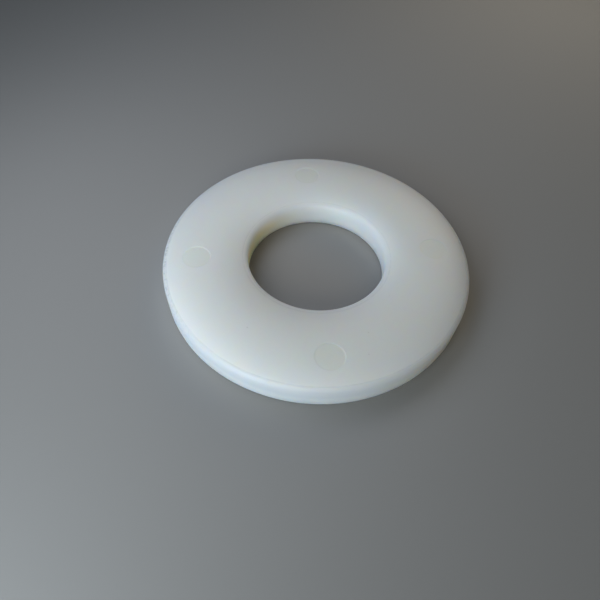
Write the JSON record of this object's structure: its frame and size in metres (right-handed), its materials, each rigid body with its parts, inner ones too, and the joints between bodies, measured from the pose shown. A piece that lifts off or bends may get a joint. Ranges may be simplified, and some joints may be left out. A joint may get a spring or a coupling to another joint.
{
  "type": "flat washer",
  "caption": "Flat moulded plastic washer with rounded rims, which spreads the load of a bolt head or nut, or spaces two parts on a bolt or spindle.",
  "frame": {"origin": "centre of the bottom face, on the axis of the bore", "axes": "+Z along the axis of the bore, from the plain bottom face to the top face that has the four ejector pin marks; the marks lie on the X and Y axes"},
  "size_m": [0.055, 0.055, 0.005],
  "materials": {
    "natural_nylon": "satin, milky and slightly translucent, as moulded"
  },
  "bodies": {
    "root": {"washer": "natural_nylon"}
  },
  "joints": []
}
